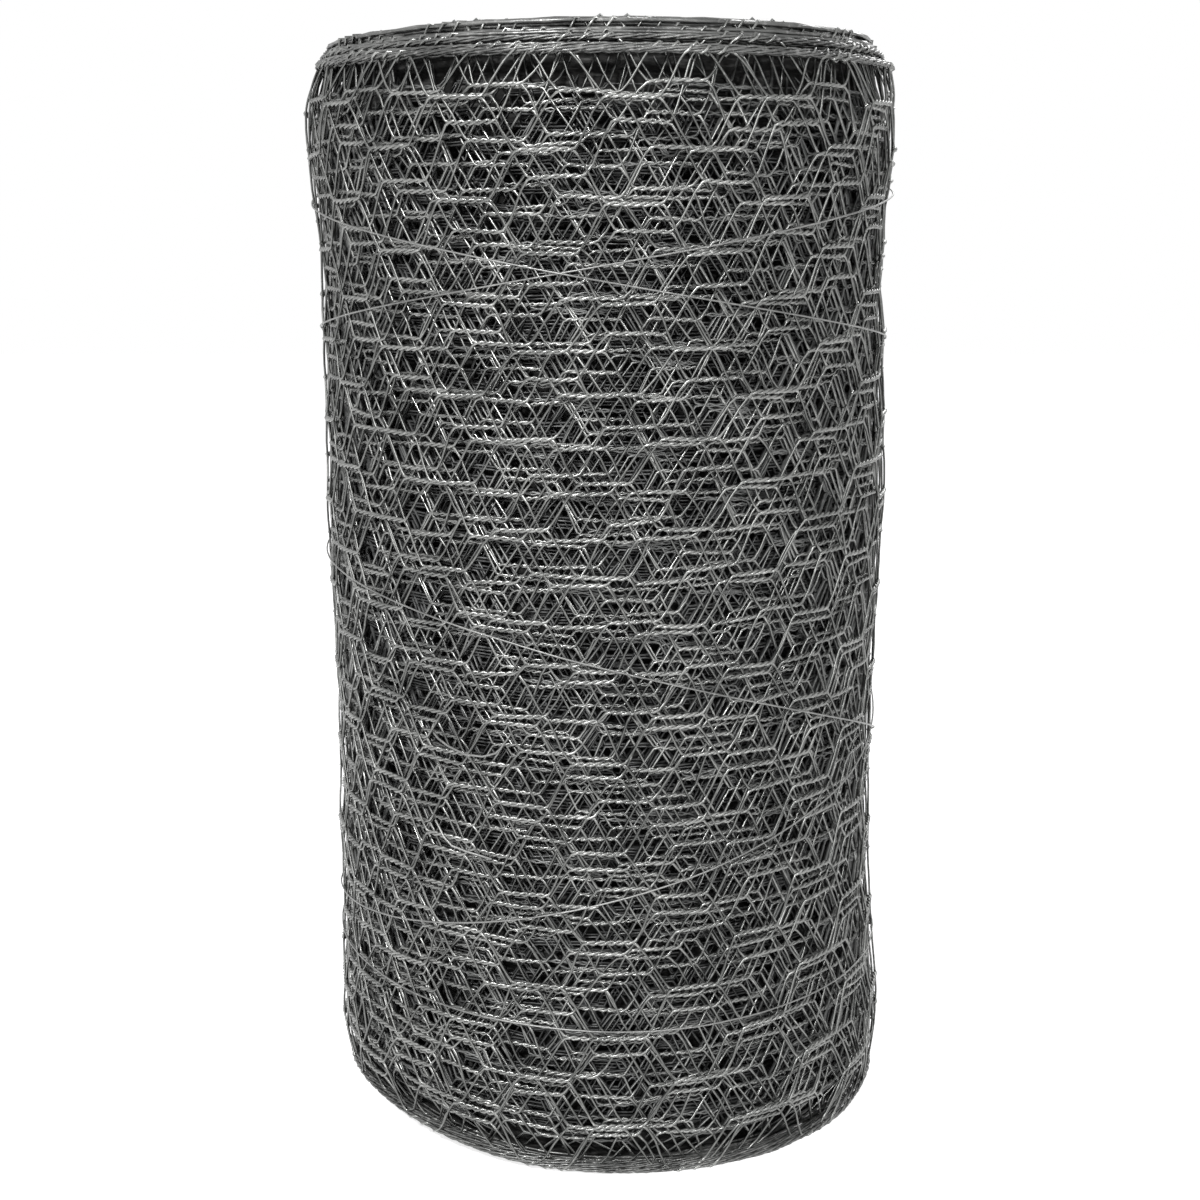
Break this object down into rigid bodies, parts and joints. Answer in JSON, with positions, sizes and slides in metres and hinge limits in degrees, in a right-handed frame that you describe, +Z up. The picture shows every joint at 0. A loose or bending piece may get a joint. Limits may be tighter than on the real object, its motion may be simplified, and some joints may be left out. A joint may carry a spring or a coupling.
{
  "type": "roll of chicken wire",
  "caption": "Roll of galvanised hexagonal wire netting standing on its end, with an open middle, stacked turns at the ends and thin tie wires round it.",
  "frame": {"origin": "centre of the standing end, on the roll's axis at floor level", "axes": "+Z up along the roll's axis, -Y towards the camera"},
  "size_m": [0.34, 0.3403, 0.6258],
  "materials": {
    "netting_wire": "dull galvanised",
    "tie_wire": "dull galvanised"
  },
  "bodies": {
    "root": {"netting_roll": "netting_wire", "tie_wire_upper": "tie_wire", "tie_wire_lower": "tie_wire", "tie_wire_bottom": "tie_wire"}
  },
  "joints": []
}
